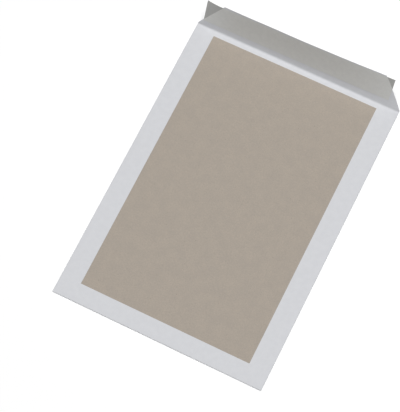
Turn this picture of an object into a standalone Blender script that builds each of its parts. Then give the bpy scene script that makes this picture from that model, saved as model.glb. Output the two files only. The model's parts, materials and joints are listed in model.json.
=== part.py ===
"""Board-backed envelope in C4 format, lying on its address side with the closure flap raised.

One sheet of white paper makes the address panel, two side flaps, a bottom flap and the closure
flap. The side and bottom flaps are folded over a grey board and glued to it, so that the board
shows inside a paper frame. The closure flap carries a peel-and-seal adhesive under a release strip.

Metres. The origin is the centre of the address panel's outer face. +Y points to the closure
flap, +Z up through the board.
"""

import math

import bmesh
import bpy
from mathutils import Vector

# Format of the closed envelope
BODY_WIDTH = 0.229
BODY_LENGTH = 0.324

# Sheets and films
PAPER_THICKNESS = 0.00016
BOARD_THICKNESS = 0.00065
GLUE_THICKNESS = 0.0001
ADHESIVE_THICKNESS = 0.0001
STRIP_THICKNESS = 0.00008
POCKET_DEPTH = 0.0004
GLUE_CLEARANCE = 0.00003
FILM_CLEARANCE = 0.0001

# Paper frame round the board
SIDE_FLAP_WIDTH = 0.0217
SIDE_FLAP_TOP_SLANT = 0.0043
SIDE_FLAP_BOTTOM_SLANT = 0.0008
SIDE_FLAP_TOP_RELIEF = 0.0022
SIDE_FLAP_BOTTOM_RELIEF = 0.0014
BOTTOM_FLAP_DEPTH = 0.0204
BOTTOM_FLAP_TAPER = 0.012
FLAP_STACK_CLEARANCE = 0.00005

# Grey board
BOARD_TOP_SETBACK = 0.0063
BOARD_BOTTOM_SETBACK = 0.0022
BOARD_SIDE_CLEARANCE = 0.0012

# Closure flap
FLAP_DEPTH = 0.038
FLAP_ROOT_HALF = 0.1144
FLAP_SHOULDER = 0.003
FLAP_TAPER = 0.0244
FLAP_BEND_RADIUS = 0.0025
FLAP_BOW = math.radians(12.0)
FLAP_RAISE = math.radians(67.4)
FLAP_RAISE_TWIST = math.radians(7.6)
FLAP_RAISE_SAG = math.radians(12.2)

# Release strip and the adhesive under it, measured on the closure flap
STRIP_LENGTH = 0.2095
STRIP_WIDTH = 0.028
STRIP_EDGE_MARGIN = 0.0016
STRIP_OFFSET = -0.0048
STRIP_SKEW = math.radians(0.35)
ADHESIVE_LENGTH = 0.178
ADHESIVE_WIDTH = 0.020
ADHESIVE_EDGE_MARGIN = 0.0055

# Glue seams between the board and the paper frame
GLUE_WIDTH = 0.006
GLUE_INSET = 0.007
GLUE_END_GAP = 0.010

# Facets
COLUMNS = 18
BODY_ROWS = 6
FOLD_STEPS = 6
BEND_STEPS = 8
FLAP_ROWS = 12
FILM_ROWS = 10
BOW_STEPS = 12

# A point this near to a fold line lies on it
EDGE_TOLERANCE = 1e-6

# Levels through the stack, and the radii that the folds need to clear it
PANEL_MID = PAPER_THICKNESS / 2
BOARD_UNDERSIDE = PAPER_THICKNESS + POCKET_DEPTH
BOARD_TOP = BOARD_UNDERSIDE + BOARD_THICKNESS
SIDE_FLAP_MID = BOARD_TOP + GLUE_THICKNESS + 2 * GLUE_CLEARANCE + PAPER_THICKNESS / 2
BOTTOM_FLAP_MID = SIDE_FLAP_MID + PAPER_THICKNESS + FLAP_STACK_CLEARANCE
SIDE_RADIUS = (SIDE_FLAP_MID - PANEL_MID) / 2
BOTTOM_RADIUS = (BOTTOM_FLAP_MID - PANEL_MID) / 2

# The flat panel ends where its folds begin
PANEL_HALF = BODY_WIDTH / 2 - PAPER_THICKNESS / 2 - SIDE_RADIUS
PANEL_BOTTOM = -(BODY_LENGTH / 2 - PAPER_THICKNESS / 2 - BOTTOM_RADIUS)
BEND_SETBACK = FLAP_BEND_RADIUS * math.tan(FLAP_RAISE / 2)
PANEL_TOP = BODY_LENGTH / 2 - BEND_SETBACK
SIDE_FLAP_TOP = BODY_LENGTH / 2 - SIDE_FLAP_TOP_RELIEF
SIDE_FLAP_BOTTOM = -(BODY_LENGTH / 2 - SIDE_FLAP_BOTTOM_RELIEF)

# Lengths along the sheet, from the start of a fold
SIDE_FOLD_RUN = math.pi * SIDE_RADIUS
SIDE_FLAP_RUN = SIDE_FOLD_RUN + PANEL_HALF - (BODY_WIDTH / 2 - SIDE_FLAP_WIDTH)
BOTTOM_FOLD_RUN = math.pi * BOTTOM_RADIUS
BOTTOM_FLAP_RUN = BOTTOM_FOLD_RUN - PANEL_BOTTOM - (BODY_LENGTH / 2 - BOTTOM_FLAP_DEPTH)
BEND_RUN = FLAP_SHOULDER
FLAP_RUN = FLAP_BEND_RADIUS * FLAP_RAISE + FLAP_DEPTH - BEND_SETBACK


def clear_scene():
    """Remove every object of the start-up scene."""
    for item in list(bpy.data.objects):
        bpy.data.objects.remove(item, do_unlink=True)


def make_collection(name):
    """Return a new collection, linked to the scene."""
    collection = bpy.data.collections.new(name)
    bpy.context.scene.collection.children.link(collection)
    return collection


def make_material(name, color, roughness):
    """Return a Principled material of one colour."""
    material = bpy.data.materials.new(name)
    material.use_nodes = True
    shader = material.node_tree.nodes["Principled BSDF"]
    shader.inputs["Base Color"].default_value = (*color, 1.0)
    shader.inputs["Roughness"].default_value = roughness
    shader.inputs["Metallic"].default_value = 0.0
    material.diffuse_color = (*color, 1.0)
    return material


def raise_angle(x):
    """Angle of the closure flap above the panel; it leans back to the right and at both ends."""
    share = x / BODY_WIDTH
    return FLAP_RAISE - FLAP_RAISE_TWIST * share - FLAP_RAISE_SAG * share ** 2


def flap_point(x, run, lift=0.0):
    """Place a point of the raised flap: run along the sheet, lift off its inner face's side.

    Past the bend the flap still steepens a little, most near the bend.
    """
    base = raise_angle(x) - FLAP_BOW * 2 / 3
    turned = min(run / FLAP_BEND_RADIUS, base)
    y = PANEL_TOP + FLAP_BEND_RADIUS * math.sin(turned)
    z = PANEL_MID + FLAP_BEND_RADIUS * (1 - math.cos(turned))
    rest = run - turned * FLAP_BEND_RADIUS
    if rest > 0:
        length = FLAP_RUN - base * FLAP_BEND_RADIUS
        for step in range(BOW_STEPS):
            share = (step + 0.5) / BOW_STEPS * rest / length
            slope = base + FLAP_BOW * (1 - (1 - share) ** 2)
            y += rest / BOW_STEPS * math.cos(slope)
            z += rest / BOW_STEPS * math.sin(slope)
        turned = base + FLAP_BOW * (1 - (1 - rest / length) ** 2)
    return Vector((x, y - lift * math.sin(turned), z + lift * math.cos(turned)))


def folded_over(run, radius):
    """Return how far a sheet gets outwards and upwards in a full fold of this radius."""
    turned = min(run / radius, math.pi)
    straight = run - turned * radius
    return radius * math.sin(turned) - straight, radius * (1 - math.cos(turned))


def fold_blank(point):
    """Move a point of the flat blank to its place on the folded sheet."""
    if point.y > PANEL_TOP:
        return flap_point(point.x, point.y - PANEL_TOP)
    on_side = abs(point.x) > PANEL_HALF + EDGE_TOLERANCE and point.y < SIDE_FLAP_TOP + EDGE_TOLERANCE
    if on_side:
        out, up = folded_over(abs(point.x) - PANEL_HALF, SIDE_RADIUS)
        return Vector((math.copysign(PANEL_HALF + out, point.x), point.y, PANEL_MID + up))
    if point.y < PANEL_BOTTOM:
        out, up = folded_over(PANEL_BOTTOM - point.y, BOTTOM_RADIUS)
        return Vector((point.x, PANEL_BOTTOM - out, PANEL_MID + up))
    return Vector((point.x, point.y, PANEL_MID))


def add_patch(bm, lower, upper, columns, rows):
    """Add a flat grid between a lower and an upper edge, each a pair of points, left to right."""
    grid = bmesh.ops.create_grid(bm, x_segments=columns, y_segments=rows, size=0.5)
    low_left, low_right = (Vector((*corner, 0.0)) for corner in lower)
    up_left, up_right = (Vector((*corner, 0.0)) for corner in upper)
    for vert in grid["verts"]:
        across = vert.co.x + 0.5
        along = vert.co.y + 0.5
        low = low_left.lerp(low_right, across)
        vert.co = low.lerp(up_left.lerp(up_right, across), along)


def make_sheet(name, bm, thickness, material, collection):
    """Turn an open surface into a sheet of even thickness about it."""
    bmesh.ops.remove_doubles(bm, verts=bm.verts, dist=1e-6)
    bmesh.ops.recalc_face_normals(bm, faces=bm.faces)
    mesh = bpy.data.meshes.new(name)
    bm.to_mesh(mesh)
    bm.free()
    sheet = bpy.data.objects.new(name, mesh)
    collection.objects.link(sheet)
    mesh.materials.append(material)
    solidify = sheet.modifiers.new("thickness", "SOLIDIFY")
    solidify.thickness = thickness
    solidify.offset = 0.0
    solidify.use_even_offset = True
    return sheet


def add_body_panels(bm):
    """Lay out the address panel, in bands that end level with the side flaps."""
    half, root = PANEL_HALF, FLAP_ROOT_HALF
    bottom, top = SIDE_FLAP_BOTTOM, SIDE_FLAP_TOP
    add_patch(bm, ((-half, PANEL_BOTTOM), (half, PANEL_BOTTOM)), ((-half, bottom), (half, bottom)), COLUMNS, 1)
    add_patch(bm, ((-half, bottom), (half, bottom)), ((-half, top), (half, top)), COLUMNS, BODY_ROWS)
    add_patch(bm, ((-half, top), (half, top)), ((-root, PANEL_TOP), (root, PANEL_TOP)), COLUMNS, 1)


def add_side_flap(bm, side):
    """Lay out one side flap and its fold; side is -1 for the left and 1 for the right."""
    fold = side * PANEL_HALF
    flat = side * (PANEL_HALF + SIDE_FOLD_RUN)
    edge = side * (PANEL_HALF + SIDE_FLAP_RUN)
    bottom, top = SIDE_FLAP_BOTTOM, SIDE_FLAP_TOP
    add_patch(bm, ((fold, bottom), (flat, bottom)), ((fold, top), (flat, top)), FOLD_STEPS, BODY_ROWS)
    lower = ((flat, bottom), (edge, bottom + SIDE_FLAP_BOTTOM_SLANT))
    upper = ((flat, top), (edge, top - SIDE_FLAP_TOP_SLANT))
    add_patch(bm, lower, upper, 1, BODY_ROWS)


def add_bottom_flap(bm):
    """Lay out the bottom flap and its fold, with slanted ends."""
    flat = PANEL_BOTTOM - BOTTOM_FOLD_RUN
    edge = PANEL_BOTTOM - BOTTOM_FLAP_RUN
    root = ((-PANEL_HALF, PANEL_BOTTOM), (PANEL_HALF, PANEL_BOTTOM))
    start = ((-PANEL_HALF, flat), (PANEL_HALF, flat))
    end_half = PANEL_HALF - BOTTOM_FLAP_TAPER
    add_patch(bm, start, root, COLUMNS, FOLD_STEPS)
    add_patch(bm, ((-end_half, edge), (end_half, edge)), start, COLUMNS, 1)


def flap_half(run):
    """Half width of the closure flap at a length along it; past a shoulder its ends slant in."""
    return FLAP_ROOT_HALF - FLAP_TAPER * max(run - FLAP_SHOULDER, 0) / (FLAP_RUN - FLAP_SHOULDER)


def add_closure_flap(bm):
    """Lay out the closure flap: its bend, then the flap up to the free edge."""
    lengths = [(0.0, BEND_STEPS), (BEND_RUN, FLAP_ROWS), (FLAP_RUN, 0)]
    for (low, rows), (high, _) in zip(lengths, lengths[1:]):
        lower = ((-flap_half(low), PANEL_TOP + low), (flap_half(low), PANEL_TOP + low))
        upper = ((-flap_half(high), PANEL_TOP + high), (flap_half(high), PANEL_TOP + high))
        add_patch(bm, lower, upper, COLUMNS, rows)


def make_paper_blank(collection):
    """The folded sheet of paper: panel, side flaps, bottom flap and closure flap."""
    bm = bmesh.new()
    add_body_panels(bm)
    add_side_flap(bm, -1)
    add_side_flap(bm, 1)
    add_bottom_flap(bm)
    add_closure_flap(bm)
    bmesh.ops.remove_doubles(bm, verts=bm.verts, dist=1e-6)
    for vert in bm.verts:
        vert.co = fold_blank(vert.co)
    paper = make_material("white_paper", (0.80, 0.80, 0.82), 0.75)
    return make_sheet("paper_blank", bm, PAPER_THICKNESS, paper, collection)


def make_slab(name, low, high, material, collection):
    """A flat rectangular piece between two corners."""
    bm = bmesh.new()
    bmesh.ops.create_cube(bm, size=1.0)
    low, high = Vector(low), Vector(high)
    for vert in bm.verts:
        share = vert.co + Vector((0.5, 0.5, 0.5))
        vert.co = low + Vector(a * b for a, b in zip(share, high - low))
    mesh = bpy.data.meshes.new(name)
    bm.to_mesh(mesh)
    bm.free()
    slab = bpy.data.objects.new(name, mesh)
    mesh.materials.append(material)
    collection.objects.link(slab)
    return slab


def make_board(collection):
    """The grey board behind the pocket, reaching under the paper frame on three sides."""
    half = PANEL_HALF - BOARD_SIDE_CLEARANCE
    bottom = -(BODY_LENGTH / 2 - BOARD_BOTTOM_SETBACK)
    top = BODY_LENGTH / 2 - BOARD_TOP_SETBACK
    board = make_material("grey_board", (0.52, 0.455, 0.37), 0.9)
    low = (-half, bottom, BOARD_UNDERSIDE)
    high = (half, top, BOARD_TOP)
    return make_slab("board_back", low, high, board, collection)


def make_glue_seams(collection):
    """Glue between the board and the side flaps, and between the board and the bottom flap."""
    glue = make_material("dried_glue", (0.75, 0.74, 0.68), 0.5)
    low_z = BOARD_TOP + GLUE_CLEARANCE
    outer = BODY_WIDTH / 2 - GLUE_INSET
    inner = outer - GLUE_WIDTH
    bottom = -(BODY_LENGTH / 2 - BOTTOM_FLAP_DEPTH) + GLUE_END_GAP
    top = BODY_LENGTH / 2 - BOARD_TOP_SETBACK - GLUE_END_GAP
    for name, ends in (("seam_glue_left", (-outer, -inner)), ("seam_glue_right", (inner, outer))):
        low = (ends[0], bottom, low_z)
        high = (ends[1], top, low_z + GLUE_THICKNESS)
        make_slab(name, low, high, glue, collection)
    half = BODY_WIDTH / 2 - SIDE_FLAP_WIDTH - GLUE_END_GAP
    seam_bottom = -(BODY_LENGTH / 2 - GLUE_INSET)
    low = (-half, seam_bottom, low_z)
    high = (half, seam_bottom + GLUE_WIDTH, BOTTOM_FLAP_MID - PAPER_THICKNESS / 2 - GLUE_CLEARANCE)
    make_slab("seam_glue_bottom", low, high, glue, collection)


def make_film(name, half, offset, edge_margin, width, skew, lift, thickness, material, collection):
    """A straight film on the inside of the closure flap, along its free edge."""
    bm = bmesh.new()
    top = FLAP_RUN - edge_margin
    bottom = top - width
    lower = ((offset - half, bottom), (offset + half, bottom))
    upper = ((offset - half, top), (offset + half, top))
    add_patch(bm, lower, upper, COLUMNS, FILM_ROWS)
    for vert in bm.verts:
        run = vert.co.y + (vert.co.x - offset) * math.tan(skew)
        vert.co = flap_point(vert.co.x, run, lift)
    return make_sheet(name, bm, thickness, material, collection)


def make_closure(collection):
    """The adhesive on the closure flap and the release strip that covers it."""
    adhesive = make_material("adhesive", (0.80, 0.77, 0.66), 0.35)
    strip = make_material("release_paper", (0.74, 0.73, 0.69), 0.45)
    adhesive_lift = PAPER_THICKNESS / 2 + FILM_CLEARANCE + ADHESIVE_THICKNESS / 2
    strip_lift = adhesive_lift + (ADHESIVE_THICKNESS + STRIP_THICKNESS) / 2 + FILM_CLEARANCE
    make_film("closure_adhesive", ADHESIVE_LENGTH / 2, 0.0, ADHESIVE_EDGE_MARGIN, ADHESIVE_WIDTH,
              0.0, adhesive_lift, ADHESIVE_THICKNESS, adhesive, collection)
    make_film("release_strip", STRIP_LENGTH / 2, STRIP_OFFSET, STRIP_EDGE_MARGIN, STRIP_WIDTH,
              STRIP_SKEW, strip_lift, STRIP_THICKNESS, strip, collection)


def main():
    """Build the envelope."""
    clear_scene()
    collection = make_collection("board_backed_envelope")
    make_paper_blank(collection)
    make_board(collection)
    make_glue_seams(collection)
    make_closure(collection)


main()
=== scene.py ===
"""Dressed model of the board-backed envelope: one folded sheet of white paper round a grey
board, with a release strip on the raised closure flap.

Metres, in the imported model's frame: the origin is the centre of the address panel's outer face,
+Y points to the closure flap and +Z up through the board.
"""

import json
import math

import bmesh
import bpy
from mathutils import Matrix, Vector

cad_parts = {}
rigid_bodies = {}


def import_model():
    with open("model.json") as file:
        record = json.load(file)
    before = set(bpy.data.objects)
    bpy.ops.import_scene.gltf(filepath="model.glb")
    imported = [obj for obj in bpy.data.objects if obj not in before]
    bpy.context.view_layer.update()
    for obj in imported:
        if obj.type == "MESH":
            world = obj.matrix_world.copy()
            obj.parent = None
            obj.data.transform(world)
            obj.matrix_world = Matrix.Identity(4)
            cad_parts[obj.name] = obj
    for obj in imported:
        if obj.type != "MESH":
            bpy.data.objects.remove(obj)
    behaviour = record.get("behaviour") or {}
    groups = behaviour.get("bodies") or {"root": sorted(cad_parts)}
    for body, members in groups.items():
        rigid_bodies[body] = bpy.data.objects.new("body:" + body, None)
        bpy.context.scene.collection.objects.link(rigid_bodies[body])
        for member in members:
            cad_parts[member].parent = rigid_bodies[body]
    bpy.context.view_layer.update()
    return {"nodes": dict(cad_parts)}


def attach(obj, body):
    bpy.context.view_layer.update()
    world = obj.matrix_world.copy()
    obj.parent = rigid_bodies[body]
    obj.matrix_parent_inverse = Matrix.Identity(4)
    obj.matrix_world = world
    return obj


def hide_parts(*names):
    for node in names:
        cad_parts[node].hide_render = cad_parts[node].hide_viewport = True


for item in list(bpy.data.objects):
    bpy.data.objects.remove(item, do_unlink=True)

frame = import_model()

# Format of the closed envelope
BODY_WIDTH = 0.229
BODY_LENGTH = 0.324

# Sheets and films
PAPER_THICKNESS = 0.00016
BOARD_THICKNESS = 0.00065
GLUE_THICKNESS = 0.0001
ADHESIVE_THICKNESS = 0.0001
STRIP_THICKNESS = 0.00008
POCKET_DEPTH = 0.0004
GLUE_CLEARANCE = 0.00003
FILM_CLEARANCE = 0.00003

# Paper frame round the board; both inner edges of the side flaps lean to the left at the top
SIDE_FLAP_WIDTH = 0.0219
SIDE_FLAP_LEAN = 0.0004
SIDE_FLAP_TOP_SLANT = 0.0043
SIDE_FLAP_BOTTOM_SLANT = 0.0008
SIDE_FLAP_TOP_RELIEF = 0.0022
SIDE_FLAP_BOTTOM_RELIEF = 0.0010
BOTTOM_FOLD_HALF = 0.1142
BOTTOM_FLAP_DEPTH = 0.0195
BOTTOM_FLAP_TAPER = 0.012
FLAP_STACK_CLEARANCE = 0.00005

# Grey board
BOARD_TOP_SETBACK = 0.0063
BOARD_BOTTOM_SETBACK = 0.0022
BOARD_SIDE_CLEARANCE = 0.0012
BOARD_BEVEL = 0.00006

# Closure flap: its fold lies a little past the body's length
FOLD_PAST = 0.0004
FLAP_DEPTH = 0.0373
FLAP_ROOT_HALF = 0.1144
FLAP_SHOULDER = 0.003
FLAP_TAPER = 0.0244
FLAP_BEND_RADIUS = 0.0025
FLAP_RAISE = math.radians(67.4)
FLAP_RAISE_TWIST = math.radians(7.6)
FLAP_RAISE_SAG = math.radians(12.2)
FLAP_BOW = math.radians(12.0)
BOW_STEPS = 12
FLAP_WAVE = 0.00018
FLAP_WAVES = ((1.6, 0.5, 1.0), (3.7, 2.0, 0.4))

# Release strip and the adhesive under it, measured on the closure flap
STRIP_LENGTH = 0.2095
STRIP_WIDTH = 0.028
STRIP_EDGE_MARGIN = 0.0016
STRIP_OFFSET = -0.0048
STRIP_SKEW = math.radians(0.35)
STRIP_CURL_LEFT = 0.0021
STRIP_CURL_RIGHT = 0.0004
STRIP_CURL_REACH = 0.020
ADHESIVE_LENGTH = 0.178
ADHESIVE_WIDTH = 0.020
ADHESIVE_EDGE_MARGIN = 0.0055

# Facets of the fine meshes
COLUMNS = 64
BODY_ROWS = 48
CORNER_ROWS = 2
SIDE_FLAP_COLUMNS = 4
BOTTOM_FLAP_ROWS = 4
BOARD_COLUMNS = 24
BOARD_ROWS = 32
FOLD_STEPS = 14
BEND_STEPS = 16
FLAP_ROWS = 18
FILM_COLUMNS = 120
FILM_ROWS = 16
SHARP_ANGLE = math.radians(40)
EDGE_TOLERANCE = 1e-6

# Levels through the stack, and the radii that the folds need to clear it
PANEL_MID = PAPER_THICKNESS / 2
BOARD_UNDERSIDE = PAPER_THICKNESS + POCKET_DEPTH
BOARD_TOP = BOARD_UNDERSIDE + BOARD_THICKNESS
SIDE_FLAP_MID = BOARD_TOP + GLUE_THICKNESS + 2 * GLUE_CLEARANCE + PAPER_THICKNESS / 2
BOTTOM_FLAP_MID = SIDE_FLAP_MID + PAPER_THICKNESS + FLAP_STACK_CLEARANCE
SIDE_RADIUS = (SIDE_FLAP_MID - PANEL_MID) / 2
BOTTOM_RADIUS = (BOTTOM_FLAP_MID - PANEL_MID) / 2

# How far the middles of the two films lie off the middle of the closure flap's paper
ADHESIVE_LIFT = PAPER_THICKNESS / 2 + FILM_CLEARANCE + ADHESIVE_THICKNESS / 2
STRIP_LIFT = ADHESIVE_LIFT + (ADHESIVE_THICKNESS + STRIP_THICKNESS) / 2 + FILM_CLEARANCE

# The flat panel ends where its folds begin
PANEL_HALF = BODY_WIDTH / 2 - PAPER_THICKNESS / 2 - SIDE_RADIUS
PANEL_BOTTOM = -(BODY_LENGTH / 2 - PAPER_THICKNESS / 2 - BOTTOM_RADIUS)
BEND_SETBACK = FLAP_BEND_RADIUS * math.tan(FLAP_RAISE / 2)
PANEL_TOP = BODY_LENGTH / 2 + FOLD_PAST - BEND_SETBACK
SIDE_FLAP_TOP = BODY_LENGTH / 2 - SIDE_FLAP_TOP_RELIEF
SIDE_FLAP_BOTTOM = -(BODY_LENGTH / 2 - SIDE_FLAP_BOTTOM_RELIEF)

# Lengths along the sheet, from the start of a fold
SIDE_FOLD_RUN = math.pi * SIDE_RADIUS
SIDE_FLAP_RUN = SIDE_FOLD_RUN + PANEL_HALF - (BODY_WIDTH / 2 - SIDE_FLAP_WIDTH)
BOTTOM_FOLD_RUN = math.pi * BOTTOM_RADIUS
BOTTOM_FLAP_RUN = BOTTOM_FOLD_RUN - PANEL_BOTTOM - (BODY_LENGTH / 2 - BOTTOM_FLAP_DEPTH)
FLAP_RUN = FLAP_BEND_RADIUS * FLAP_RAISE + FLAP_DEPTH - BEND_SETBACK

# Camera: focal length for a 36 mm sensor along the long side, place and the three axes
LENS = 159.64
CAMERA_PLACE = Vector((0.27704, -0.54737, 1.72983))
CAMERA_RIGHT = Vector((0.89560434, 0.44443526, -0.01923995))
CAMERA_DOWN = Vector((0.41365621, -0.84793136, -0.33151313))
CAMERA_FORWARD = Vector((-0.16365028, 0.28894587, -0.94325440))

# Floor and light
FLOOR_HALF = 6.0
FLOOR_GAP = 0.0001
FLOOR_GLOW = 0.13
WORLD_STRENGTH = 0.13
SOFT_BOX_PLACE = (0.15, 0.20, 3.9)
SOFT_BOX_SIZE = 2.6
SOFT_BOX_POWER = 142.5

# Linear colours: the dim and bright ends of each surface's clouds, then what is mixed in
WHITE = (1.0, 1.0, 1.0, 1.0)
FLOOR_COLOR = (0.93, 0.93, 0.93, 1.0)
PAPER_DIM = (0.665, 0.673, 0.700, 1.0)
PAPER_BRIGHT = (0.688, 0.696, 0.722, 1.0)
PAPER_GRAIN = (0.50, 0.50, 0.51, 1.0)
PAPER_STRAND = (0.86, 0.86, 0.87, 1.0)
PAPER_EDGE_DIM = (0.56, 0.56, 0.56, 1.0)
PAPER_EDGE_BRIGHT = (0.707, 0.70, 0.693, 1.0)
BOARD_DIM = (0.426, 0.372, 0.319, 1.0)
BOARD_BRIGHT = (0.455, 0.394, 0.333, 1.0)
BOARD_MOTTLE = (0.36, 0.33, 0.287, 1.0)
BOARD_PALE_STRAND = (0.55, 0.50, 0.43, 1.0)
BOARD_DARK_STRAND = (0.20, 0.17, 0.14, 1.0)
BOARD_SPECK = (0.16, 0.14, 0.12, 1.0)
BOARD_EDGE_DIM = (0.25, 0.215, 0.175, 1.0)
BOARD_EDGE_BRIGHT = (0.42, 0.37, 0.30, 1.0)
STRIP_DIM = (0.655, 0.656, 0.640, 1.0)
STRIP_BRIGHT = (0.685, 0.686, 0.668, 1.0)
STRIP_GRAIN = (0.45, 0.44, 0.42, 1.0)
# Painted shade: the release strip's colour is multiplied by this where no flap is behind it
STRIP_UNBACKED_PAINTED_SHADE = (0.66, 0.66, 0.66, 1.0)
ADHESIVE_DIM = (0.62, 0.59, 0.49, 1.0)
ADHESIVE_BRIGHT = (0.70, 0.67, 0.57, 1.0)
GLUE_DIM = (0.58, 0.57, 0.52, 1.0)
GLUE_BRIGHT = (0.68, 0.67, 0.62, 1.0)

# Strands in paper and board: how many layers cross, and the turn from one to the next
STRAND_LAYERS = 3
STRAND_TURN = 1.1

# Mesh attribute that holds a sheet's flat coordinates, so that its texture follows the folds
SHEET = "sheet"


def raise_angle(x):
    """Angle of the closure flap above the panel; it leans back to the right and at both ends."""
    share = x / BODY_WIDTH
    return FLAP_RAISE - FLAP_RAISE_TWIST * share - FLAP_RAISE_SAG * share ** 2


def flap_wave(x, run):
    """Slight warp of the raised flap, which grows from its bend to its free edge.

    FLAP_WAVES gives each wave's turns over the width, its phase and its share.
    """
    share = max(run / FLAP_RUN, 0.0)
    along = math.tau * x / BODY_WIDTH
    swing = sum(part * math.sin(turns * along + phase) for turns, phase, part in FLAP_WAVES)
    return FLAP_WAVE * share ** 2 * swing


def flap_point(x, run, lift=0.0):
    """Place a point of the raised flap: run along the sheet, lift to its inner face's side.

    Past the bend the flap steepens by FLAP_BOW, most of it near the bend. It starts 2/3 of that
    lower, so that its mean slope is raise_angle.
    """
    base = raise_angle(x) - FLAP_BOW * 2 / 3
    turned = min(run / FLAP_BEND_RADIUS, base)
    y = PANEL_TOP + FLAP_BEND_RADIUS * math.sin(turned)
    z = PANEL_MID + FLAP_BEND_RADIUS * (1 - math.cos(turned))
    rest = run - turned * FLAP_BEND_RADIUS
    if rest > 0:
        length = FLAP_RUN - base * FLAP_BEND_RADIUS
        for step in range(BOW_STEPS):
            share = (step + 0.5) / BOW_STEPS * rest / length
            slope = base + FLAP_BOW * (1 - (1 - share) ** 2)
            y += rest / BOW_STEPS * math.cos(slope)
            z += rest / BOW_STEPS * math.sin(slope)
        turned = base + FLAP_BOW * (1 - (1 - rest / length) ** 2)
    off = lift + flap_wave(x, run)
    return Vector((x, y - off * math.sin(turned), z + off * math.cos(turned)))


def folded_over(run, radius):
    """Return how far a sheet gets outwards and upwards in a full fold of this radius."""
    turned = min(run / radius, math.pi)
    straight = run - turned * radius
    return radius * math.sin(turned) - straight, radius * (1 - math.cos(turned))


def fold_blank(point):
    """Move a point of the flat blank to its place on the folded sheet."""
    if point.y > PANEL_TOP:
        return flap_point(point.x, point.y - PANEL_TOP)
    on_side = SIDE_FLAP_BOTTOM - EDGE_TOLERANCE < point.y < SIDE_FLAP_TOP + EDGE_TOLERANCE
    if on_side and abs(point.x) > PANEL_HALF + EDGE_TOLERANCE:
        out, up = folded_over(abs(point.x) - PANEL_HALF, SIDE_RADIUS)
        return Vector((math.copysign(PANEL_HALF + out, point.x), point.y, PANEL_MID + up))
    if point.y < PANEL_BOTTOM:
        out, up = folded_over(PANEL_BOTTOM - point.y, BOTTOM_RADIUS)
        return Vector((point.x, PANEL_BOTTOM - out, PANEL_MID + up))
    return Vector((point.x, point.y, PANEL_MID))


def flap_half(run):
    """Half width of the closure flap at a length along it; past a shoulder its ends slant in."""
    return FLAP_ROOT_HALF - FLAP_TAPER * max(run - FLAP_SHOULDER, 0) / (FLAP_RUN - FLAP_SHOULDER)


def add_patch(bm, lower, upper, columns, rows):
    """Add a flat grid between a lower and an upper edge, each a pair of points, left to right."""
    grid = bmesh.ops.create_grid(bm, x_segments=columns, y_segments=rows, size=0.5)
    low_left, low_right = (Vector((*corner, 0.0)) for corner in lower)
    up_left, up_right = (Vector((*corner, 0.0)) for corner in upper)
    for vert in grid["verts"]:
        across = vert.co.x + 0.5
        along = vert.co.y + 0.5
        low = low_left.lerp(low_right, across)
        vert.co = low.lerp(up_left.lerp(up_right, across), along)


def add_body_panels(bm):
    """Lay out the address panel, in bands that end level with the side flaps."""
    levels = (
        (PANEL_BOTTOM, BOTTOM_FOLD_HALF, 1),
        (SIDE_FLAP_BOTTOM, PANEL_HALF, BODY_ROWS),
        (SIDE_FLAP_TOP, PANEL_HALF, CORNER_ROWS),
        (PANEL_TOP, FLAP_ROOT_HALF, 0),
    )
    for (low, low_half, rows), (high, high_half, _) in zip(levels, levels[1:]):
        lower = ((-low_half, low), (low_half, low))
        upper = ((-high_half, high), (high_half, high))
        add_patch(bm, lower, upper, COLUMNS, rows)


def add_side_flap(bm, side):
    """Lay out one side flap and its fold; side is -1 for the left and 1 for the right."""
    fold = side * PANEL_HALF
    flat = side * (PANEL_HALF + SIDE_FOLD_RUN)
    edge = side * (PANEL_HALF + SIDE_FLAP_RUN)
    bottom, top = SIDE_FLAP_BOTTOM, SIDE_FLAP_TOP
    lower = ((fold, bottom), (flat, bottom))
    upper = ((fold, top), (flat, top))
    add_patch(bm, lower, upper, FOLD_STEPS, BODY_ROWS)
    lower = ((flat, bottom), (edge, bottom + SIDE_FLAP_BOTTOM_SLANT))
    upper = ((flat, top), (edge + SIDE_FLAP_LEAN, top - SIDE_FLAP_TOP_SLANT))
    add_patch(bm, lower, upper, SIDE_FLAP_COLUMNS, BODY_ROWS)


def add_bottom_flap(bm):
    """Lay out the bottom flap and its fold, with slanted ends."""
    flat = PANEL_BOTTOM - BOTTOM_FOLD_RUN
    edge = PANEL_BOTTOM - BOTTOM_FLAP_RUN
    root = ((-BOTTOM_FOLD_HALF, PANEL_BOTTOM), (BOTTOM_FOLD_HALF, PANEL_BOTTOM))
    start = ((-BOTTOM_FOLD_HALF, flat), (BOTTOM_FOLD_HALF, flat))
    end_half = PANEL_HALF - BOTTOM_FLAP_TAPER
    end = ((-end_half, edge), (end_half, edge))
    add_patch(bm, start, root, COLUMNS, FOLD_STEPS)
    add_patch(bm, end, start, COLUMNS, BOTTOM_FLAP_ROWS)


def add_closure_flap(bm):
    """Lay out the closure flap: its bend, then the flap up to the free edge."""
    lengths = [(0.0, BEND_STEPS), (FLAP_SHOULDER, FLAP_ROWS), (FLAP_RUN, 0)]
    for (low, rows), (high, _) in zip(lengths, lengths[1:]):
        lower = ((-flap_half(low), PANEL_TOP + low), (flap_half(low), PANEL_TOP + low))
        upper = ((-flap_half(high), PANEL_TOP + high), (flap_half(high), PANEL_TOP + high))
        add_patch(bm, lower, upper, COLUMNS, rows)


def shape_sheet(bm, place):
    """Keep each point's flat coordinates on it, then move it to its place."""
    bmesh.ops.remove_doubles(bm, verts=bm.verts, dist=EDGE_TOLERANCE)
    bmesh.ops.recalc_face_normals(bm, faces=bm.faces)
    flat = bm.verts.layers.float_vector.new(SHEET)
    for vert in bm.verts:
        vert[flat] = vert.co
        vert.co = place(vert.co)


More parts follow.
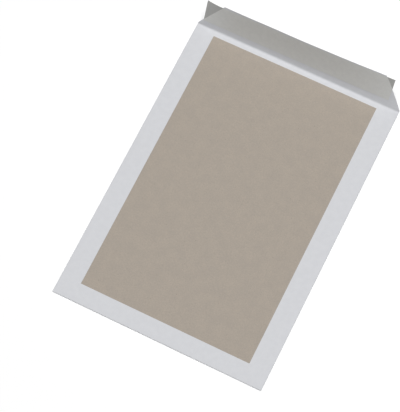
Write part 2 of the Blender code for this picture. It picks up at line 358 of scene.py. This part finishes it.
def make_sheet(name, bm, thickness, bevel, materials):
    """Turn an open surface into a closed sheet; the second material is for its cut edges."""
    mesh = bpy.data.meshes.new(name)
    bm.to_mesh(mesh)
    bm.free()
    sheet = bpy.data.objects.new(name, mesh)
    bpy.context.scene.collection.objects.link(sheet)
    for material in materials:
        mesh.materials.append(material)
    solidify = sheet.modifiers.new("thickness", "SOLIDIFY")
    solidify.thickness = thickness
    solidify.offset = 0.0
    solidify.use_even_offset = True
    solidify.material_offset_rim = 1
    if bevel:
        rounding = sheet.modifiers.new("rounding", "BEVEL")
        rounding.width = bevel
        rounding.segments = 2
        rounding.limit_method = "ANGLE"
        rounding.angle_limit = SHARP_ANGLE
    graph = bpy.context.evaluated_depsgraph_get()
    closed = bpy.data.meshes.new_from_object(sheet.evaluated_get(graph))
    sheet.modifiers.clear()
    sheet.data = closed
    closed.name = name
    closed.shade_smooth()
    closed.set_sharp_from_angle(angle=SHARP_ANGLE)
    return sheet


def make_paper_blank(materials):
    """The folded sheet of paper: panel, side flaps, bottom flap and closure flap."""
    bm = bmesh.new()
    add_body_panels(bm)
    add_side_flap(bm, -1)
    add_side_flap(bm, 1)
    add_bottom_flap(bm)
    add_closure_flap(bm)
    shape_sheet(bm, fold_blank)
    return make_sheet("folded_paper", bm, PAPER_THICKNESS, 0.0, materials)


def make_board(materials):
    """The grey board behind the pocket, reaching under the paper frame on three sides."""
    half = PANEL_HALF - BOARD_SIDE_CLEARANCE
    bottom = -(BODY_LENGTH / 2 - BOARD_BOTTOM_SETBACK)
    top = BODY_LENGTH / 2 - BOARD_TOP_SETBACK
    middle = (BOARD_UNDERSIDE + BOARD_TOP) / 2
    lower = ((-half, bottom), (half, bottom))
    upper = ((-half, top), (half, top))
    bm = bmesh.new()
    add_patch(bm, lower, upper, BOARD_COLUMNS, BOARD_ROWS)
    shape_sheet(bm, lambda co: Vector((co.x, co.y, middle)))
    return make_sheet("board", bm, BOARD_THICKNESS, BOARD_BEVEL, materials)


def strip_curl(x, run):
    """How far an end of the release strip stands back where the flap no longer carries it."""
    past = max(abs(x) - flap_half(run), 0.0)
    curl = STRIP_CURL_LEFT if x < 0 else STRIP_CURL_RIGHT
    return -curl * (past / STRIP_CURL_REACH) ** 2


def add_film(bm, length, width, edge_margin, offset=0.0):
    """Lay out a straight film on the closure flap, along its free edge."""
    top = FLAP_RUN - edge_margin
    bottom = top - width
    half = length / 2
    lower = ((offset - half, bottom), (offset + half, bottom))
    upper = ((offset - half, top), (offset + half, top))
    add_patch(bm, lower, upper, FILM_COLUMNS, FILM_ROWS)


def make_adhesive(materials):
    """The adhesive film on the inner face of the closure flap."""
    bm = bmesh.new()
    add_film(bm, ADHESIVE_LENGTH, ADHESIVE_WIDTH, ADHESIVE_EDGE_MARGIN)
    shape_sheet(bm, lambda co: flap_point(co.x, co.y, ADHESIVE_LIFT))
    return make_sheet("adhesive_film", bm, ADHESIVE_THICKNESS, 0.0, materials)


def strip_point(co):
    """Place a point of the release strip, which lies slightly askew and curls at its ends."""
    run = co.y + (co.x - STRIP_OFFSET) * math.tan(STRIP_SKEW)
    return flap_point(co.x, run, STRIP_LIFT + strip_curl(co.x, run))


def make_strip(materials):
    """The release strip over the adhesive; its ends stand out past the flap's slanted ends."""
    bm = bmesh.new()
    add_film(bm, STRIP_LENGTH, STRIP_WIDTH, STRIP_EDGE_MARGIN, STRIP_OFFSET)
    shape_sheet(bm, strip_point)
    return make_sheet("peel_strip", bm, STRIP_THICKNESS, 0.0, materials)


class Nodes:
    """A short way to write one material's nodes."""

    def __init__(self, name):
        self.material = bpy.data.materials.new(name)
        self.material.use_nodes = True
        self.tree = self.material.node_tree
        self.shader = self.tree.nodes["Principled BSDF"]

    def link(self, source, target):
        """Join an output to an input."""
        self.tree.links.new(source, target)

    def value(self, target, source):
        """Set an input to a number, a colour or another node's output."""
        if isinstance(source, bpy.types.NodeSocket):
            self.link(source, target)
        else:
            target.default_value = source

    def flat_place(self, stretch=(1.0, 1.0, 1.0), turn=0.0):
        """The sheet's flat coordinates in metres, stretched and turned."""
        place = self.tree.nodes.new("ShaderNodeAttribute")
        place.attribute_name = SHEET
        return self.mapped(place.outputs["Vector"], stretch, turn)

    def solid_place(self, stretch=(1.0, 1.0, 1.0), turn=0.0):
        """The object's coordinates in metres, stretched and turned."""
        place = self.tree.nodes.new("ShaderNodeTexCoord")
        return self.mapped(place.outputs["Object"], stretch, turn)

    def mapped(self, source, stretch, turn):
        """Turn coordinates about Z, then multiply them by stretch."""
        mapping = self.tree.nodes.new("ShaderNodeMapping")
        mapping.vector_type = "TEXTURE"
        mapping.inputs["Rotation"].default_value = (0.0, 0.0, turn)
        mapping.inputs["Scale"].default_value = [1.0 / factor for factor in stretch]
        self.link(source, mapping.inputs["Vector"])
        return mapping.outputs["Vector"]

    def noise(self, place, size, detail=2.0, roughness=0.5, distortion=0.0):
        """Noise whose features are about size metres across."""
        noise = self.tree.nodes.new("ShaderNodeTexNoise")
        noise.inputs["Scale"].default_value = 1.0 / size
        noise.inputs["Detail"].default_value = detail
        noise.inputs["Roughness"].default_value = roughness
        noise.inputs["Distortion"].default_value = distortion
        self.link(place, noise.inputs["Vector"])
        return noise.outputs["Fac"]

    def math(self, operation, first, second=0.0, third=0.0):
        """Work out a number from up to three numbers or outputs."""
        node = self.tree.nodes.new("ShaderNodeMath")
        node.operation = operation
        for target, source in zip(node.inputs, (first, second, third)):
            self.value(target, source)
        return node.outputs["Value"]

    def ramp(self, source, low, high, start=0.0, end=1.0):
        """Move a number from the range low to high into the range start to end, smoothly."""
        node = self.tree.nodes.new("ShaderNodeMapRange")
        node.interpolation_type = "SMOOTHSTEP"
        self.link(source, node.inputs["Value"])
        node.inputs["From Min"].default_value = low
        node.inputs["From Max"].default_value = high
        node.inputs["To Min"].default_value = start
        node.inputs["To Max"].default_value = end
        return node.outputs["Result"]

    def mix(self, factor, first, second, blend="MIX"):
        """Mix two colours; the node's colour sockets are found by number, as their names repeat."""
        node = self.tree.nodes.new("ShaderNodeMix")
        node.data_type = "RGBA"
        node.blend_type = blend
        self.value(node.inputs[0], factor)
        self.value(node.inputs[6], first)
        self.value(node.inputs[7], second)
        return node.outputs[2]

    def bump(self, heights):
        """Add surface relief from pairs of a height pattern and its depth in metres."""
        normal = None
        for height, depth in heights:
            node = self.tree.nodes.new("ShaderNodeBump")
            node.inputs["Strength"].default_value = 1.0
            node.inputs["Distance"].default_value = depth
            self.link(height, node.inputs["Height"])
            if normal is not None:
                self.link(normal, node.inputs["Normal"])
            normal = node.outputs["Normal"]
        self.link(normal, self.shader.inputs["Normal"])

    def finish(self, color, roughness, specular):
        """Set the surface's values and return the material."""
        self.value(self.shader.inputs["Base Color"], color)
        self.value(self.shader.inputs["Roughness"], roughness)
        self.shader.inputs["Specular IOR Level"].default_value = specular
        return self.material


def fibres(nodes, length, width, first_turn):
    """A pattern of short thin strands that cross at a few angles, from 0 to 1."""
    strands = None
    for step in range(STRAND_LAYERS):
        place = nodes.flat_place((width / length, 1.0, 1.0), first_turn + step * STRAND_TURN)
        layer = nodes.ramp(nodes.noise(place, width, detail=1.0), 0.60, 0.78)
        strands = layer if strands is None else nodes.math("MAXIMUM", strands, layer)
    return strands


def paper_material():
    """Smooth white wove paper: faint clouds, fine fibres and a slight cockle."""
    nodes = Nodes("white_paper")
    cloud = nodes.noise(nodes.flat_place(), 0.006, detail=3.0, roughness=0.6)
    grain = nodes.noise(nodes.flat_place(), 0.0005, detail=3.0, roughness=0.6)
    strands = fibres(nodes, length=0.0022, width=0.00013, first_turn=0.3)
    cockle = nodes.noise(nodes.flat_place((1.0, 0.6, 1.0), turn=0.4), 0.022, detail=1.0)
    color = nodes.mix(nodes.ramp(cloud, 0.3, 0.7), PAPER_DIM, PAPER_BRIGHT)
    color = nodes.mix(nodes.ramp(grain, 0.35, 0.75, end=0.07), color, PAPER_GRAIN)
    color = nodes.mix(nodes.math("MULTIPLY", strands, 0.10), color, PAPER_STRAND)
    nodes.bump([(cockle, 0.00008), (grain, 0.000007), (strands, 0.000004)])
    return nodes.finish(color, nodes.ramp(grain, 0.3, 0.7, 0.66, 0.82), specular=0.3)


def paper_edge_material():
    """Cut edge of the paper: rougher, a little darker and broken up by its fibres."""
    nodes = Nodes("white_paper_edge")
    grain = nodes.noise(nodes.solid_place(), 0.00025, detail=3.0, roughness=0.7)
    color = nodes.mix(nodes.ramp(grain, 0.3, 0.7), PAPER_EDGE_DIM, PAPER_EDGE_BRIGHT)
    nodes.bump([(grain, 0.00003)])
    return nodes.finish(color, 0.9, specular=0.2)


def board_material():
    """Grey board from mixed waste fibres: mottled, with darker specks and pale strands."""
    nodes = Nodes("grey_board")
    cloud = nodes.noise(nodes.flat_place(), 0.012, detail=3.0, roughness=0.6)
    mottle = nodes.noise(nodes.flat_place(), 0.0016, detail=4.0, roughness=0.65)
    grain = nodes.noise(nodes.flat_place(), 0.00035, detail=2.0, roughness=0.6)
    flecks = nodes.noise(nodes.flat_place(), 0.0011, detail=1.0, distortion=0.4)
    specks = nodes.ramp(flecks, 0.70, 0.78)
    pale = fibres(nodes, length=0.0030, width=0.00016, first_turn=0.8)
    dark = fibres(nodes, length=0.0024, width=0.00014, first_turn=1.3)
    cockle = nodes.noise(nodes.flat_place(), 0.030, detail=1.0)
    color = nodes.mix(nodes.ramp(cloud, 0.3, 0.7), BOARD_DIM, BOARD_BRIGHT)
    color = nodes.mix(nodes.ramp(mottle, 0.3, 0.7, end=0.55), color, BOARD_MOTTLE)
    color = nodes.mix(nodes.math("MULTIPLY", pale, 0.35), color, BOARD_PALE_STRAND)
    color = nodes.mix(nodes.math("MULTIPLY", dark, 0.30), color, BOARD_DARK_STRAND)
    color = nodes.mix(nodes.math("MULTIPLY", specks, 0.45), color, BOARD_SPECK)
    nodes.bump([(cockle, 0.0001), (mottle, 0.00003), (grain, 0.00002)])
    return nodes.finish(color, nodes.ramp(grain, 0.3, 0.7, 0.82, 0.95), specular=0.2)


def board_edge_material():
    """Cut edge of the board: thin pressed layers of fibre."""
    nodes = Nodes("grey_board_edge")
    layers = nodes.noise(nodes.solid_place((0.05, 0.05, 1.0)), 0.00012, detail=3.0, roughness=0.7)
    grain = nodes.noise(nodes.solid_place(), 0.0004, detail=3.0, roughness=0.7)
    color = nodes.mix(nodes.ramp(layers, 0.3, 0.7), BOARD_EDGE_DIM, BOARD_EDGE_BRIGHT)
    color = nodes.mix(nodes.ramp(grain, 0.4, 0.8, end=0.3), color, BOARD_DARK_STRAND)
    nodes.bump([(layers, 0.00004), (grain, 0.00004)])
    return nodes.finish(color, 0.95, specular=0.15)


def unbacked_painted_shade_share(nodes):
    """Mask of the painted shade on the release strip: 1 where the strip stands out past the flap's
    slanted ends, and 0 on the flap.
    """
    slope = -FLAP_TAPER / (FLAP_RUN - FLAP_SHOULDER)
    start = FLAP_ROOT_HALF - slope * FLAP_SHOULDER
    place = nodes.tree.nodes.new("ShaderNodeSeparateXYZ")
    nodes.link(nodes.flat_place(), place.inputs["Vector"])
    half = nodes.math("MULTIPLY_ADD", place.outputs["Y"], slope, start)
    past = nodes.math("SUBTRACT", nodes.math("ABSOLUTE", place.outputs["X"]), half)
    return nodes.ramp(past, -0.0004, 0.0006)


def release_material():
    """Release paper: smooth, slightly glossy and warm; where it stands out past the flap, painted
    shade darkens it, for the light it loses with no white flap behind it.
    """
    nodes = Nodes("release_paper")
    cloud = nodes.noise(nodes.flat_place(), 0.005, detail=3.0, roughness=0.6)
    grain = nodes.noise(nodes.flat_place((0.25, 1.0, 1.0)), 0.0005, detail=2.0, roughness=0.6)
    cockle = nodes.noise(nodes.flat_place(), 0.018, detail=1.0)
    color = nodes.mix(nodes.ramp(cloud, 0.3, 0.7), STRIP_DIM, STRIP_BRIGHT)
    color = nodes.mix(nodes.ramp(grain, 0.35, 0.75, end=0.08), color, STRIP_GRAIN)
    # Painted shade on the strip's ends past the flap
    color = nodes.mix(unbacked_painted_shade_share(nodes), color, STRIP_UNBACKED_PAINTED_SHADE, "MULTIPLY")
    nodes.bump([(cockle, 0.0001), (grain, 0.000006)])
    return nodes.finish(color, nodes.ramp(grain, 0.3, 0.7, 0.38, 0.50), specular=0.45)


def adhesive_material():
    """Peel-and-seal adhesive: a pale glossy film with uneven spread."""
    nodes = Nodes("adhesive_film")
    spread = nodes.noise(nodes.flat_place(), 0.0015, detail=3.0, roughness=0.6)
    color = nodes.mix(nodes.ramp(spread, 0.3, 0.7), ADHESIVE_DIM, ADHESIVE_BRIGHT)
    nodes.bump([(spread, 0.00003)])
    return nodes.finish(color, nodes.ramp(spread, 0.3, 0.7, 0.15, 0.35), specular=0.5)


def glue_material():
    """Dried glue between the board and the paper frame: streaky and satin."""
    nodes = Nodes("dried_glue_seam")
    streaks = nodes.noise(nodes.solid_place((1.0, 0.15, 1.0)), 0.0010, detail=3.0, roughness=0.6)
    color = nodes.mix(nodes.ramp(streaks, 0.3, 0.7), GLUE_DIM, GLUE_BRIGHT)
    nodes.bump([(streaks, 0.00003)])
    return nodes.finish(color, nodes.ramp(streaks, 0.3, 0.7, 0.40, 0.60), specular=0.4)


def build_envelope():
    """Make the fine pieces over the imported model."""
    paper = [paper_material(), paper_edge_material()]
    board = [board_material(), board_edge_material()]
    adhesive = adhesive_material()
    release = release_material()
    glue = glue_material()
    pieces = [
        (make_adhesive([adhesive, adhesive]), "closure_adhesive", "adhesive"),
        (make_strip([release, release]), "release_strip", "release_paper"),
        (make_paper_blank(paper), "paper_blank", "white_paper"),
        (make_board(board), "board_back", "grey_board"),
    ]
    for piece, node, slot in pieces:
        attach(piece, "root")
        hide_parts(node)
    for name in ("seam_glue_left", "seam_glue_right", "seam_glue_bottom"):
        node = frame["nodes"][name]
        node.data.materials.clear()
        node.data.materials.append(glue)


def make_floor():
    """A plain pale floor just under the envelope."""
    bm = bmesh.new()
    bmesh.ops.create_grid(bm, x_segments=1, y_segments=1, size=FLOOR_HALF)
    mesh = bpy.data.meshes.new("floor")
    bm.to_mesh(mesh)
    bm.free()
    floor = bpy.data.objects.new("floor", mesh)
    floor.location.z = -FLOOR_GAP
    bpy.context.scene.collection.objects.link(floor)
    material = bpy.data.materials.new("floor")
    material.use_nodes = True
    shader = material.node_tree.nodes["Principled BSDF"]
    shader.inputs["Base Color"].default_value = FLOOR_COLOR
    shader.inputs["Roughness"].default_value = 0.9
    shader.inputs["Specular IOR Level"].default_value = 0.2
    shader.inputs["Emission Color"].default_value = WHITE
    shader.inputs["Emission Strength"].default_value = FLOOR_GLOW
    mesh.materials.append(material)


def add_soft_box():
    """A large square light overhead that faces the envelope."""
    light = bpy.data.lights.new("soft_box", "AREA")
    light.shape = "SQUARE"
    light.size = SOFT_BOX_SIZE
    light.energy = SOFT_BOX_POWER
    lamp = bpy.data.objects.new("soft_box", light)
    lamp.location = SOFT_BOX_PLACE
    lamp.rotation_mode = "QUATERNION"
    lamp.rotation_quaternion = (-Vector(SOFT_BOX_PLACE)).to_track_quat("-Z", "Y")
    bpy.context.scene.collection.objects.link(lamp)


def light_studio():
    """Soft light all round and the soft box."""
    world = bpy.data.worlds.new("studio")
    world.use_nodes = True
    background = world.node_tree.nodes["Background"]
    background.inputs["Color"].default_value = WHITE
    background.inputs["Strength"].default_value = WORLD_STRENGTH
    bpy.context.scene.world = world
    bpy.context.scene.view_settings.view_transform = "Standard"
    add_soft_box()


def place_camera():
    """Put the camera where the photograph was taken from."""
    data = bpy.data.cameras.new("camera")
    data.lens = LENS
    data.sensor_width = 36.0
    data.dof.use_dof = False
    camera = bpy.data.objects.new("camera", data)
    bpy.context.scene.collection.objects.link(camera)
    axes = Matrix((CAMERA_RIGHT, -CAMERA_DOWN, -CAMERA_FORWARD)).transposed()
    camera.matrix_world = Matrix.Translation(CAMERA_PLACE) @ axes.to_4x4()
    bpy.context.scene.camera = camera


build_envelope()
make_floor()
light_studio()
place_camera()
